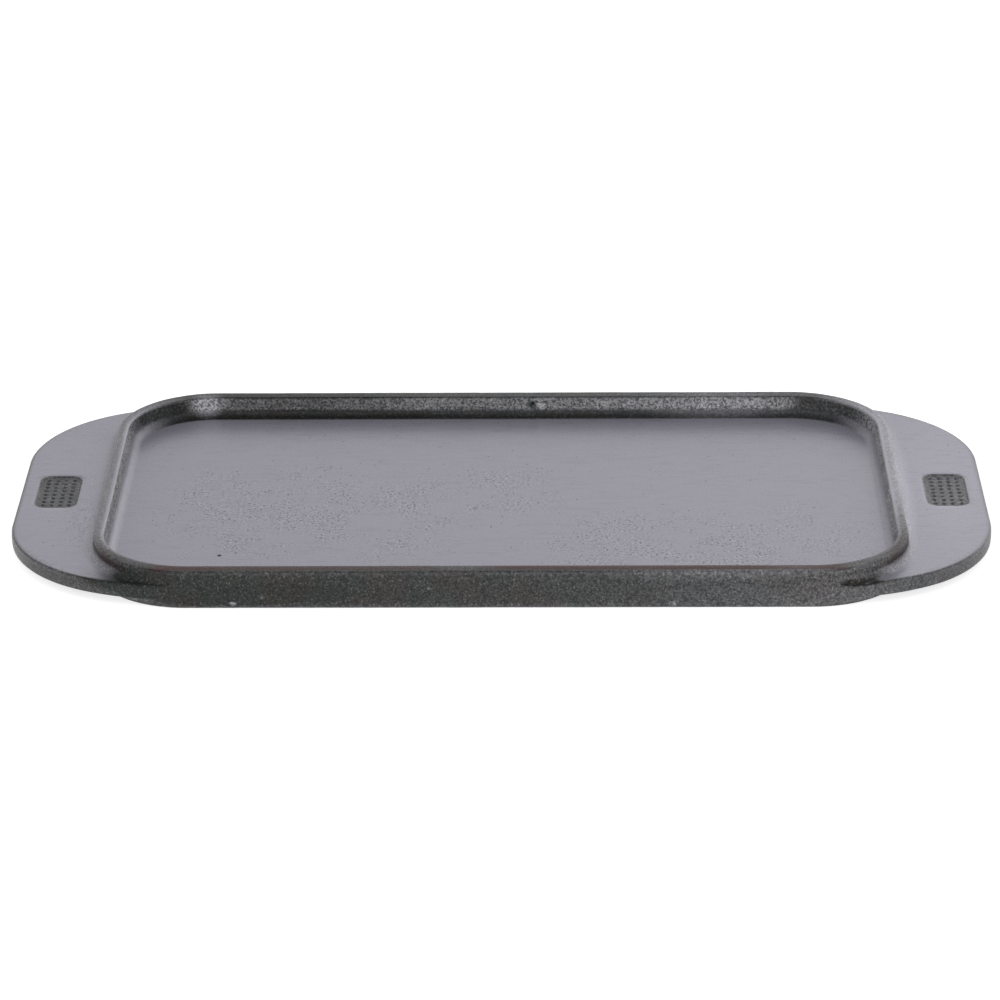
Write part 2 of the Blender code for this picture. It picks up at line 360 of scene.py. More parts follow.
def pan_columns():
    """Points and outward normals round the pan, anticlockwise from the middle of the front."""
    straight_x = HALF_LENGTH - CORNER_RADIUS
    straight_y = HALF_WIDTH - CORNER_RADIUS
    quarter = math.pi / 2
    columns = []

    def line(start, end, normal):
        steps = max(1, round(math.dist(start, end) / COLUMN_STEP))
        for i in range(steps):
            x, y = Vector(start).lerp(Vector(end), i / steps)
            columns.append((x, y, *normal))

    def corner(centre_x, centre_y, start):
        steps = round(CORNER_RADIUS * quarter / COLUMN_STEP)
        for i in range(steps):
            angle = start + quarter * i / steps
            nx, ny = math.cos(angle), math.sin(angle)
            columns.append((centre_x + CORNER_RADIUS * nx, centre_y + CORNER_RADIUS * ny, nx, ny))

    line((0, -HALF_WIDTH), (straight_x, -HALF_WIDTH), (0, -1))
    corner(straight_x, -straight_y, -quarter)
    line((HALF_LENGTH, -straight_y), (HALF_LENGTH, straight_y), (1, 0))
    corner(straight_x, straight_y, 0)
    line((straight_x, HALF_WIDTH), (-straight_x, HALF_WIDTH), (0, 1))
    corner(-straight_x, straight_y, quarter)
    line((-HALF_LENGTH, straight_y), (-HALF_LENGTH, -straight_y), (-1, 0))
    corner(-straight_x, -straight_y, 2 * quarter)
    line((-straight_x, -HALF_WIDTH), (0, -HALF_WIDTH), (0, -1))
    return columns


def in_handle(x, y):
    """Whether a point, taken into the quarter of +X and +Y, is inside the handle's outline."""
    corner_x = HANDLE_END - HANDLE_CORNER
    corner_y = HALF_WIDTH - HANDLE_SHOULDER + (HANDLE_SHOULDER - HANDLE_CORNER) * math.sin(HANDLE_SWEEP)
    shoulder_x = corner_x - (HANDLE_SHOULDER - HANDLE_CORNER) * math.cos(HANDLE_SWEEP)
    shoulder_y = HALF_WIDTH - HANDLE_SHOULDER
    if x > HANDLE_END or y > HALF_WIDTH:
        return False
    if y <= corner_y or x <= shoulder_x:
        return True
    if math.atan2(y - corner_y, x - corner_x) <= HANDLE_SWEEP:
        return math.hypot(x - corner_x, y - corner_y) <= HANDLE_CORNER
    return math.hypot(x - shoulder_x, y - shoulder_y) <= HANDLE_SHOULDER


def handle_reach(x, y, nx, ny):
    """How far the handle stands out from the pan at a column, and 0 where it has run out."""
    x, y, nx, ny = abs(x), abs(y), abs(nx), abs(ny)
    if nx == 0:
        return 0.0
    near, far = 0.0, HANDLE_END
    for _ in range(HALVINGS):
        middle = (near + far) / 2
        if in_handle(x + nx * middle, y + ny * middle):
            near = middle
        else:
            far = middle
    return near if near > LEAST_REACH else 0.0


def rounded_rectangle(half_x, half_y, radius, spacing):
    """Points round a rectangle with round corners, anticlockwise."""
    corners = []
    steps = max(LEAST_STEPS, round(radius * math.pi / 2 / spacing))
    for turn, (side_x, side_y) in enumerate(((1, 1), (-1, 1), (-1, -1), (1, -1))):
        cx, cy = side_x * (half_x - radius), side_y * (half_y - radius)
        for i in range(steps + 1):
            angle = (turn + i / steps) * math.pi / 2
            corners.append(Vector((cx + radius * math.cos(angle), cy + radius * math.sin(angle))))
    points = []
    for start, end in zip(corners, corners[1:] + corners[:1]):
        count = max(1, round((end - start).length / spacing))
        points += [tuple(start.lerp(end, i / count)) for i in range(count)]
    return points


def outside_rectangle(x, y, half_x, half_y, radius):
    """Distance from a rectangle with round corners, negative inside it."""
    dx = abs(x) - (half_x - radius)
    dy = abs(y) - (half_y - radius)
    return math.hypot(max(dx, 0), max(dy, 0)) + min(max(dx, dy), 0) - radius


# The walls' section, which is carried round the pan. A row is an inset, a height and a finish.

def arc(radius, start, end, steps):
    """Sideways and upward offsets along an arc, from one angle to another."""
    angles = np.radians(np.linspace(start, end, steps + 1))
    return [(radius * math.cos(a), radius * math.sin(a)) for a in angles]


def corner_back(radius, lean):
    """How far a rounded edge of a leaning wall starts before the sharp edge."""
    return radius * math.tan(math.radians(90 - lean) / 2)


def toe_inset(width, rise, fillet, lean):
    """Inset at which the fillet under a leaning wall has run out into the flat."""
    return width + (rise - fillet) * math.tan(math.radians(lean)) + fillet / math.cos(math.radians(lean))


def between_finishes(first, second, share):
    """A finish part of the way from one to another."""
    return tuple(Vector(FINISHES[first]).lerp(Vector(FINISHES[second]), share))


def ramp(value, start, end):
    """0 at the start, 1 at the end, and even in between."""
    return min(1.0, max(0.0, (value - start) / (end - start)))


def tray_rows(nx=1.0, ny=0.0):
    """The tray's wall where it faces this way, from its toe over the crest to its outer edge."""
    along = ny * ny
    width = TRAY_RIM_WIDTH + TRAY_RIM_EXTRA * along
    sets_in, full, fades, gone = PAINTED_SHADE_CORNERS[1 if nx > 0 else -1]
    turn = math.degrees(math.atan2(abs(nx), ny))
    # How much of the back corners' painted shade the wall has
    dull = ramp(turn, sets_in, full) * ramp(turn, gone, fades)
    wall = between_finishes("tray_wall", "corner_wall_painted_shade", dull)
    foot = between_finishes("end_fillet", "tray_fillet_painted_shade", ramp(along, 0, FILLET_FADE))
    # The rim's inner edge has a painted highlight at the ends
    rim = between_finishes("end_edge_painted_highlight", "inner_edge", along)
    crest = FINISHES["crest"]
    toe = toe_inset(width, CREST - FLOOR, TRAY_FILLET, TRAY_WALL_LEAN)
    edge_x = width - corner_back(INNER_EDGE, TRAY_WALL_LEAN)
    outer_x = WALL_DRAFT + OUTER_EDGE
    edge = [(edge_x + x, CREST - INNER_EDGE + z)
            for x, z in arc(INNER_EDGE, TRAY_WALL_LEAN, 90, INNER_STEPS)]
    fillet = [(toe + x, FLOOR + TRAY_FILLET + z)
              for x, z in arc(TRAY_FILLET, -90, TRAY_WALL_LEAN - 180, FILLET_STEPS)]
    rows = []
    for i, (x, z) in enumerate(fillet[:-1]):
        rows.append((x, z, foot if i else FINISHES["ground"]))
    for t in np.linspace(0, 1, WALL_STEPS + 1)[:-1]:
        x, z = Vector(fillet[-1]).lerp(Vector(edge[0]), t)
        rows.append((x, z, wall))
    rows += [(x, z, rim) for x, z in edge]
    rows += [(x, CREST, crest) for x in np.linspace(edge_x, outer_x, CREST_STEPS + 1)[1:-1]]
    rows += [(outer_x + x, CREST - OUTER_EDGE + z, crest) for x, z in arc(OUTER_EDGE, 90, 180, OUTER_STEPS)]
    return rows


def foot_rows():
    """The grill side's wall, from its outer edge across the foot to its toe on the plate."""
    outer_x = WALL_DRAFT + FOOT_EDGE
    edge_x = FOOT_WIDTH - corner_back(INNER_EDGE, GRILL_WALL_LEAN)
    toe = toe_inset(FOOT_WIDTH, UNDERSIDE, GRILL_FILLET, GRILL_WALL_LEAN)
    worn, grill = FINISHES["foot_edge"], FINISHES["grill"]
    rows = [(outer_x + x, FOOT_EDGE + z, worn) for x, z in arc(FOOT_EDGE, 180, 270, FOOT_EDGE_STEPS)]
    rows += [(x, 0, grill) for x in np.linspace(outer_x, edge_x, FOOT_STEPS + 1)[1:-1]]
    rows += [(edge_x + x, INNER_EDGE + z, grill)
             for x, z in arc(INNER_EDGE, -90, -GRILL_WALL_LEAN, FOOT_INNER_STEPS)]
    rows += [(toe + x, UNDERSIDE - GRILL_FILLET + z, grill)
             for x, z in arc(GRILL_FILLET, 180 - GRILL_WALL_LEAN, 90, FOOT_FILLET_STEPS)]
    return rows


def drafted(inset, height):
    """An inset with the outer wall's draft, which leans in both ways from the parting line."""
    parting = (HANDLE_TOP + HANDLE_LOW) / 2
    above = (height - parting) / (CREST - parting)
    below = (parting - height) / parting
    return inset + WALL_DRAFT * max(above, below)


def side_rows(reach):
    """The outer wall at one column, with the handle standing out of it by its reach.

    Its fillet and edge flatten onto the wall where it runs out, at their full heights, so that every
    column has the same rows at the same heights.
    """
    share = min(1.0, reach / (ROOT_FILLET + HANDLE_EDGE))
    root, edge, top, low = ROOT_FILLET, HANDLE_EDGE, HANDLE_TOP, HANDLE_LOW
    wall = FINISHES["outer_wall"]
    band = between_finishes("outer_wall", "handle_edge", ramp(reach, 0, EDGE_FADE))
    turn = between_finishes("outer_wall", "handle_round", ramp(reach, 0, EDGE_FADE))
    fillet = between_finishes("outer_wall", "root", ramp(reach, 0, ROOT_FADE))
    rows = [(0, z, wall) for z in np.linspace(CREST - OUTER_EDGE, top + root, UPPER_STEPS + 1)[1:-1]]
    rows += [((x - root) * share, top + root + z, fillet) for x, z in arc(root, 0, -90, ROOT_STEPS)]
    rows += [((edge - x) * share - reach, top - edge + z, turn) for x, z in arc(edge, 90, 0, EDGE_STEPS)]
    rows += [(-reach, z, band) for z in np.linspace(top - edge, FLOOR, BAND_STEPS)[1:]]
    rows += [(-reach, z, band) for z in np.linspace(FLOOR, low + edge, BAND_STEPS + 1)[1:-1]]
    rows += [((edge - x) * share - reach, low + edge + z, band) for x, z in arc(edge, 0, -90, EDGE_STEPS)]
    rows += [((x - root) * share, low - root + z, fillet) for x, z in arc(root, 90, 0, ROOT_STEPS)]
    rows += [(0, z, wall) for z in np.linspace(low - root, FOOT_EDGE, LOWER_STEPS + 1)[1:-1]]
    return [(drafted(x, z), z, finish) for x, z, finish in rows]


# Where rows of the outer wall lie, counted from the tray's toe
HANDLE_START = len(tray_rows()) + UPPER_STEPS - 1
TOP_FLAT = HANDLE_START + ROOT_STEPS
PLATE_TOP = TOP_FLAT + 1 + EDGE_STEPS + BAND_STEPS - 1
LOW_FLAT = PLATE_TOP + BAND_STEPS - 1 + EDGE_STEPS + 1
HANDLE_STOP = LOW_FLAT + 1 + ROOT_STEPS
PLATE_LOW = LOW_FLAT + 1


class Casting:
    """The casting while it is put together, in millimetres.

    A face of the skin belongs to one piece, and one between two pieces closes both of them.
    """

    def __init__(self):
        self.points = []
        self.numbers = {}
        self.faces = []
        self.owners = []
        self.finishes = []

    def point(self, x, y, z):
        """The number of a point, the same one wherever points coincide."""
        key = tuple(round(float(part), DECIMALS) + 0.0 for part in (x, y, z))
        if key not in self.numbers:
            self.numbers[key] = len(self.points)
            self.points.append(key)
        return self.numbers[key]

    def face(self, corners, owners, finish=FINISHES["inside"]):
        """A face through these points, or none where they fall on a line."""
        kept = [c for i, c in enumerate(corners) if c != corners[i - 1]]
        if len(set(kept)) == len(kept) > 2:
            self.faces.append(kept)
            self.owners.append(owners)
            self.finishes.append(finish)

    def strip(self, first, second, owners, finish=FINISHES["inside"]):
        """Faces between two closed rows of points."""
        for i in range(len(first)):
            j = (i + 1) % len(first)
            self.face((first[i], first[j], second[j], second[i]), owners, finish)

    def fill(self, loops, inner, height, owners, finish=FINISHES["inside"]):
        """Faces within the first loop of points and outside the others, through the inner points.

        An inner point is x, y and its height above the flat. The grinding wheel leaves what is sunk.
        """
        numbers = [i for loop in loops for i in loop]
        outlines = []
        for loop in loops:
            start = sum(len(outline) for outline in outlines)
            outline = list(range(start, start + len(loop)))
            outlines.append(outline[::-1] if outlines else outline)
        numbers += [self.point(x, y, height + z) for x, y, z in inner]
        flat = [Vector(self.points[i][:2]) for i in numbers]
        _, _, faces, sources, _, _ = delaunay_2d_cdt(flat, [], outlines, 2, SAME_PLACE)
        for corners in faces:
            face = [numbers[min(sources[i])] for i in corners]
            depth = height - sum(self.points[i][2] for i in face) / len(face)
            self.face(face, owners, FINISHES["sunk"] if depth > SUNK else finish)

    def flat_inside(self, toe):
        """Half the length, half the width and the corner radius of the flat that a toe goes round."""
        half_x = max(self.points[i][0] for i in toe)
        half_y = max(self.points[i][1] for i in toe)
        return half_x, half_y, CORNER_RADIUS - (HALF_LENGTH - half_x)


# The casting's walls and flats

def handle_name(x):
    """The handle on this side of the middle."""
    return "right_handle" if x > 0 else "left_handle"


def level_owner(row):
    """The piece behind the outer wall between a row and the next."""
    if row < PLATE_TOP:
        return "griddle_rim"
    return "griddle_plate" if row < PLATE_LOW else "grill_rim"


def make_walls(casting, columns, reaches):
    """The walls round the pan and the handles' edges. It returns all rows of points."""
    sections = [tray_rows(nx, ny) + side_rows(reach) + foot_rows()
                for (_, _, nx, ny), reach in zip(columns, reaches)]
    plain = side_rows(0)
    rows = []
    for r in range(len(sections[0])):
        rows.append([casting.point(x - nx * section[r][0], y - ny * section[r][0], section[r][1])
                     for (x, y, nx, ny), section in zip(columns, sections)])

    # Behind a handle the wall goes straight down, hidden in the iron and deeper than the sand's marks
    hidden = {r: list(rows[r]) for r in range(HANDLE_START, HANDLE_STOP + 1)}
    for r in range(HANDLE_START + 1, HANDLE_STOP):
        inset, height, _ = plain[r - len(tray_rows())]
        inset += HIDDEN_DEPTH
        for i, (x, y, nx, ny) in enumerate(columns):
            if reaches[i]:
                hidden[r][i] = casting.point(x - nx * inset, y - ny * inset, height)

    def between(rows, r, i, j):
        return rows[r][i], rows[r][j], rows[r + 1][j], rows[r + 1][i]

    count = len(columns)
    for i in range(count):
        j = (i + 1) % count
        by_handle = reaches[i] > 0 or reaches[j] > 0
        handle = handle_name(columns[i][0])
        finishes = [row[2] for row in sections[i if reaches[i] else j]]
        for r in range(len(rows) - 1):
            behind = level_owner(r)
            in_handle_band = by_handle and HANDLE_START <= r < HANDLE_STOP
            if in_handle_band:
                casting.face(between(hidden, r, i, j), (handle, behind))
            if r not in (TOP_FLAT, LOW_FLAT):
                owner = handle if in_handle_band else behind
                casting.face(between(rows, r, i, j), (owner,), finishes[r])

    casting.strip(rows[0], hidden[PLATE_TOP], ("griddle_plate", "griddle_rim"))
    casting.strip(hidden[PLATE_LOW], rows[-1], ("griddle_plate", "grill_rim"))
    return rows


def scatter(half_x, half_y, spacing, keep):
    """A loose triangular lattice of points over a rectangle, where keep allows one."""
    points = []
    row_step = spacing * math.sqrt(3) / 2
    rows = int(half_y / row_step)
    columns = int(half_x / spacing) + 1
    for row in range(-rows, rows + 1):
        for column in range(-columns, columns + 1):
            x = (column + 0.5 * (row % 2)) * spacing + rng.uniform(-SHIFT, SHIFT) * spacing
            y = row * row_step + rng.uniform(-SHIFT, SHIFT) * spacing
            if keep(x, y):
                points.append((x, y, 0.0))
    return points


def hollow(x, y, radius, depth):
    """Points of a small round pit, which is deepest in its middle."""
    points = []
    for share, height, count in PIT_RINGS:
        for i in range(count):
            angle = 2 * math.pi * i / count
            points.append((x + share * radius * math.cos(angle), y + share * radius * math.sin(angle),
                           height * depth))
    return points


def with_pits(points, pits):
    """The points of a flat, with those near a pit replaced by the pit's own."""
    widest = PIT_RINGS[-1][0]
    clear = [p for p in points
             if all(math.dist(p[:2], pit[:2]) > widest * pit[2] + PIT_CLEARANCE for pit in pits)]
    for pit in pits:
        clear += hollow(*pit)
    return clear


def fill_tray(casting, toe):
    """The tray's floor, with its pits. The largest lies left of the middle, towards the front."""
    half_x, half_y, radius = casting.flat_inside(toe)
    pits = [TRAY_PIT]
    while len(pits) < TRAY_PITS:
        x = rng.uniform(-half_x, half_x)
        y = rng.uniform(-half_y, half_y)
        size = rng.uniform(*TRAY_PIT_RADII)
        if outside_rectangle(x, y, half_x, half_y, radius) > -PIT_MARGIN:
            continue
        if all(math.dist((x, y), pit[:2]) > PIT_SPACING for pit in pits):
            pits.append((x, y, size, size * PIT_DEPTH))
    points = scatter(half_x, half_y, FLAT_STEP,
                     lambda x, y: outside_rectangle(x, y, half_x, half_y, radius) < -FLAT_MARGIN)
    casting.fill([toe], with_pits(points, pits), FLOOR, ("griddle_plate",), FINISHES["ground"])


def thumb_rest(middle):
    """Points of the sunk rest about its middle: its rounded step and the dimples in its floor."""
    points = []
    for inset, depth in REST_EDGE:
        outline = rounded_rectangle(REST_WIDTH / 2 - inset, REST_LENGTH / 2 - inset, REST_CORNER - inset,
                                    REST_STEP)
        points += [(middle + x, y, -depth * REST_DEPTH) for x, y in outline]
    pitch_x = (REST_WIDTH - DIMPLE_BORDER[0]) / DIMPLE_COLUMNS
    pitch_y = (REST_LENGTH - DIMPLE_BORDER[1]) / DIMPLE_ROWS
    for column in range(DIMPLE_COLUMNS):
        for row in range(DIMPLE_ROWS):
            x = middle + (column - (DIMPLE_COLUMNS - 1) / 2) * pitch_x
            y = (row - (DIMPLE_ROWS - 1) / 2) * pitch_y
            points += [(px, py, h - REST_DEPTH) for px, py, h in hollow(x, y, DIMPLE_RADIUS, DIMPLE_DEPTH)]
    return points


def clear_of_rest(x, y, middle, gap):
    """Whether a place is at least this far from the thumb rest."""
    return outside_rectangle(x - middle, y, REST_WIDTH / 2, REST_LENGTH / 2, REST_CORNER) > gap


def handle_points(columns, reaches, span):
    """Inner points of a handle's flat, in lines out from the pan."""
    points = []
    for i in span[1:-1:round(FLAT_STEP / COLUMN_STEP)]:
        x, y, nx, ny = columns[i]
        start = ROOT_FILLET + FLAT_MARGIN
        end = reaches[i] - HANDLE_EDGE - FLAT_MARGIN
        if end <= start:
            continue
        count = max(1, round((end - start) / FLAT_STEP))
        for d in np.linspace(start, end, count + 1):
            px = x + nx * d + rng.uniform(-HANDLE_SHIFT, HANDLE_SHIFT)
            py = y + ny * d + rng.uniform(-HANDLE_SHIFT, HANDLE_SHIFT)
            points.append((px, py, 0.0))
    return points


def fill_handle(casting, columns, reaches, rows, sign):
    """The two flats of a handle. The upper one has the thumb rest and a few pits."""
    wide = ROOT_FILLET + HANDLE_EDGE
    owner = (handle_name(sign),)
    span = [i for i in range(len(columns)) if reaches[i] > wide and columns[i][0] * sign > 0]
    span = [span[0] - 1] + span + [span[-1] + 1]
    middle = sign * (HANDLE_END - REST_SETBACK)

    def outline(inner, outer):
        return [rows[inner][i] for i in span] + [rows[outer][i] for i in reversed(span[1:-1])]

    points = handle_points(columns, reaches, span)
    casting.fill([outline(LOW_FLAT + 1, LOW_FLAT)], points, HANDLE_LOW, owner, FINISHES["grill"])

    pits = []
    while len(pits) < HANDLE_PITS:
        x = sign * rng.uniform(HALF_LENGTH + PITS_FROM_PAN, HANDLE_END - PITS_FROM_END)
        y = rng.uniform(-PITS_TO_SIDE, PITS_TO_SIDE)
        size = rng.uniform(*HANDLE_PIT_RADII)
        inside = in_handle(abs(x) + PIT_MARGIN, abs(y) + PIT_MARGIN)
        if inside and clear_of_rest(x, y, middle, PIT_MARGIN):
            pits.append((x, y, size, size * PIT_DEPTH))
    points = [p for p in points if clear_of_rest(p[0], p[1], middle, REST_MARGIN)]
    points = with_pits(points, pits) + thumb_rest(middle)
    casting.fill([outline(TOP_FLAT, TOP_FLAT + 1)], points, HANDLE_TOP, owner, FINISHES["ground"])


def stadium(y, spine, radius):
    """Points round a bar with round ends."""
    along = max(1, round(2 * spine / RIB_STEP))
    points = []
    for side in (1, -1):
        for i in range(RIB_END_STEPS):
            angle = math.pi * i / RIB_END_STEPS - side * math.pi / 2
            points.append((side * spine + radius * math.cos(angle), y + radius * math.sin(angle)))
        for i in range(along):
            points.append((side * spine * (1 - 2 * i / along), y + side * radius))
    return points


def make_rib(casting, name, y, reach, crest):
    """One rib from the plate to its crest. It returns the loop where it grows out of the plate."""
    base = RIB_BASE / 2
    spine = reach - base
    height = UNDERSIDE - crest
    slope = (RIB_BASE - RIB_CREST) / 2 / height
    fillet_x, fillet_z = [RIB_FILLET * share for share in RIB_FILLET_MIDDLE]
    round_x, round_z = [RIB_ROUND * share for share in RIB_ROUND_MIDDLE]
    end = RIB_FILLET * RIB_FILLET_END
    rows = [(base + RIB_FILLET, UNDERSIDE), (base + fillet_x, UNDERSIDE - fillet_z),
            (base - slope * end, UNDERSIDE - end)]
    for t in (*RIB_SIDE, 1 - RIB_ROUND / height):
        rows.append((base - slope * height * t, UNDERSIDE - height * t))
    rows += [(RIB_CREST / 2 - round_x, crest + round_z), (RIB_CREST / 2 - RIB_ROUND, crest)]
    loops = [[casting.point(px, py, z) for px, py in stadium(y, spine, radius)] for radius, z in rows]
    for first, second in zip(loops, loops[1:]):
        casting.strip(first, second, (name,), FINISHES["grill"])
    casting.fill([loops[-1]], [], crest, (name,), FINISHES["grill"])
    casting.fill([loops[0]], [], UNDERSIDE, (name, "griddle_plate"))
    return loops[0]


def fill_grill_side(casting, toe):
    """The underside of the plate between the ribs, and the ribs."""
    places = {}
    for name in sorted(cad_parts):
        if name.startswith("grill_rib_"):
            low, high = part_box(name)
            places[name] = ((low.y + high.y) / 2 / MM, high.x / MM, low.z / MM)
    loops = [toe] + [make_rib(casting, name, *place) for name, place in places.items()]
    half_x, half_y, radius = casting.flat_inside(toe)
    base = RIB_BASE / 2

    def clear(x, y):
        if outside_rectangle(x, y, half_x, half_y, radius) > -GRILL_MARGIN:
            return False
        return all(outside_rectangle(x, y - rib_y, reach, base, base) > RIB_FILLET + RIB_MARGIN
                   for rib_y, reach, _ in places.values())

    points = scatter(half_x, half_y, GRILL_STEP, clear)
    casting.fill(loops, points, UNDERSIDE, ("griddle_plate",), FINISHES["grill"])


def make_casting():
    """The whole griddle: its unbroken skin and the hidden faces between its pieces."""
    casting = Casting()
    columns = pan_columns()
    reaches = [handle_reach(*column) for column in columns]
    rows = make_walls(casting, columns, reaches)
    fill_tray(casting, rows[0])
    fill_handle(casting, columns, reaches, rows, 1)
    fill_handle(casting, columns, reaches, rows, -1)
    fill_grill_side(casting, rows[-1])
    return casting


# The roughness and the finish of the casting

def skin_normals(casting, places):
    """Outward normals at the skin's points. Points inside the iron have none."""
    work = bmesh.new()
    verts = [work.verts.new(place) for place in places]
    for corners, owners in zip(casting.faces, casting.owners):
        if len(owners) == 1:
            work.faces.new([verts[i] for i in corners])
    open_edges = sum(len(edge.link_faces) != 2 for edge in work.edges)
    if open_edges:
        print("the skin isn't closed:", open_edges, "edges")
    bmesh.ops.recalc_face_normals(work, faces=work.faces)
    work.normal_update()
    normals = np.array([v.normal if v.link_faces else (0, 0, 0) for v in work.verts])
    work.free()
    return normals


def wave(place, height, width, seed):
    """Smooth noise with bumps of about this height and width."""
    return height * noise.noise(Vector(place) / width + Vector((seed, -seed, seed / 2)))


def mean_over_faces(casting, values):
    """For each point, the mean of its skin faces' values."""
    total = np.zeros((len(casting.points), values.shape[1]))
    count = np.zeros(len(casting.points))
    for corners, owners, value in zip(casting.faces, casting.owners, values):
        if len(owners) == 1:
            total[corners] += value
            count[corners] += 1
    return total / np.maximum(count, 1)[:, None]


def mark_share(place, mark):
    """How much of a mark a place has, from 1 in its middle to 0 outside it."""
    centre, reach = mark[:2]
    away = sum(((p - c) / r) ** 2 for p, c, r in zip(place, centre, reach))
    return max(0.0, 1 - away) ** 2


def marks_at(place, marks, value):
    """What marks add up to at a place, by the value at this position in each mark."""
    return sum(mark[value] * mark_share(place, mark) for mark in marks)


def roughen(casting, grit):
    """The points moved as sand, grinding and wear left them, still inside the frame's box."""
    places = np.array(casting.points)
    normals = skin_normals(casting, places)
    rough = places.copy()
    for i, (place, normal) in enumerate(zip(places, normals)):
        if not normal.any():
            continue
        swell = wave(place, *SWELL) * (1 + SWELL_GROWTH * grit[i])
        sand = wave(place, *COARSE_SAND) + wave(place, *FINE_SAND)
        rough[i] += normal * (swell + grit[i] * sand + marks_at(place, MARKS, 2))
        rise = max(0.0, place[2] - FLOOR) / (CREST - FLOOR)
        rough[i][2] += rise * wave((place[0], place[1], 0), *UNEVEN_CREST)
    low = np.array([-handle_high.x, -plate_high.y, 0.0])
    high = np.array([handle_high.x, plate_high.y, CREST + SKIN])
    return np.clip(rough, low, high)


def dried_oil(x):
    """How thick the oil lies at a place along the front rim's crest."""
    dry, pooled = [math.exp(-((x - middle) / width) ** 2) for middle, width in (OIL_DRY, OIL_POOL)]
    wet = OIL_LEVEL + wave((x, 0, 0), *OIL_PATCHES) + pooled - dry
    return ramp(abs(x), *OIL_ENDS) * ramp(wet, 0, 1)


def finish_skin(places, grit, dark):
    """How gritty, dark, oily and open the iron is at each point, with the griddle's wear and painted light.
    """
    oil = np.zeros(len(places))
    opened = np.zeros(len(places))
    for i, (x, y, z) in enumerate(places):
        end = ramp(abs(x), *[HALF_LENGTH - inside for inside in END_SPAN])
        along = x / HALF_LENGTH
        # Painted light to the right and painted shade to the left on the rough skin
        lighter = PAINTED_LIGHT_BACK if y > 0 else PAINTED_LIGHT_FRONT
        if x > 0:
            dark[i] -= lighter * grit[i] * along
        else:
            dark[i] -= lighter * grit[i] * PAINTED_SHADE_LEFT * along * (1 - end)
            dark[i] -= PAINTED_LIGHT_LEFT_END * grit[i] * end
        if z > CREST - CREST_DEPTH:
            rubbed, begins, full = RUBBED_CREST[1 if x > 0 else -1]
            worn = end * ramp(y, begins, full)
            dark[i] -= rubbed * worn
            grit[i] *= 1 - RUBBED_GRIT * worn
            if OIL_BAND[0] < y + HALF_WIDTH < OIL_BAND[1]:
                oil[i] = dried_oil(x)
        dark[i] += marks_at((x, y, z), MARKS, 3)
        oil[i] = min(1.0, oil[i] + marks_at((x, y, z), BROWNED, 2))
        opened[i] = min(1.0, marks_at((x, y, z), OPEN_GRAIN, 2))
    return {"grit": grit, "dark": np.clip(dark, *DARK_LIMITS), "oil": oil, "open": opened}


# The finished pieces

def make_piece(casting, name, places, normals, marks, material):
    """One closed piece of the casting, which stands for the node of the same name."""
    chosen = [f for f, owners in enumerate(casting.owners) if name in owners]
    used = sorted({i for f in chosen for i in casting.faces[f]})
    new = {old: i for i, old in enumerate(used)}
    mesh = bpy.data.meshes.new("cast_" + name)
    faces = [[new[i] for i in casting.faces[f]] for f in chosen]
    mesh.from_pydata([places[i] * MM for i in used], [], faces)
    work = bmesh.new()
    work.from_mesh(mesh)
    bmesh.ops.recalc_face_normals(work, faces=work.faces)
    work.to_mesh(mesh)
    work.free()

    # The whole skin's normals run on over the seams, so that no seam shows
    skin = [len(casting.owners[f]) == 1 for f in chosen]
    loop_normals = []
    for polygon, on_skin in zip(mesh.polygons, skin):
        for v in polygon.vertices:
            loop_normals.append(normals[used[v]] if on_skin else polygon.normal)
    mesh.shade_smooth()
    mesh.normals_split_custom_set(loop_normals)
    for mark, values in marks.items():
        attribute = mesh.attributes.new(mark, "FLOAT", "POINT")
        attribute.data.foreach_set("value", values[used].astype(np.float32))
    mesh.materials.append(material)

    piece = bpy.data.objects.new("cast_" + name, mesh)
    bpy.context.scene.collection.objects.link(piece)
    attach(piece, "root")
    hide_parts(name)
    return piece


# Materials

def linear(code):
    """A colour written as sRGB hex, as the linear values that shaders take."""
    parts = [int(code[i:i + 2], 16) / 255 for i in (1, 3, 5)]
    return [c / 12.92 if c <= 0.04045 else ((c + 0.055) / 1.055) ** 2.4 for c in parts] + [1.0]


def add(tree, kind, inputs=(), **settings):
    """A node with its settings. Its inputs are given in their order, or by name.

    An input is a value, another node's output to link, or a node, whose first output is linked.
    """
    node = tree.nodes.new("ShaderNode" + kind)
    for name, value in settings.items():
        setattr(node, name, value)
    pairs = inputs.items() if isinstance(inputs, dict) else enumerate(inputs)
    for name, value in pairs:
        if isinstance(value, bpy.types.Node):
            value = next(output for output in value.outputs if output.enabled)
        if isinstance(value, bpy.types.NodeSocket):
            tree.links.new(value, node.inputs[name])
        else:
            node.inputs[name].default_value = value
    return node


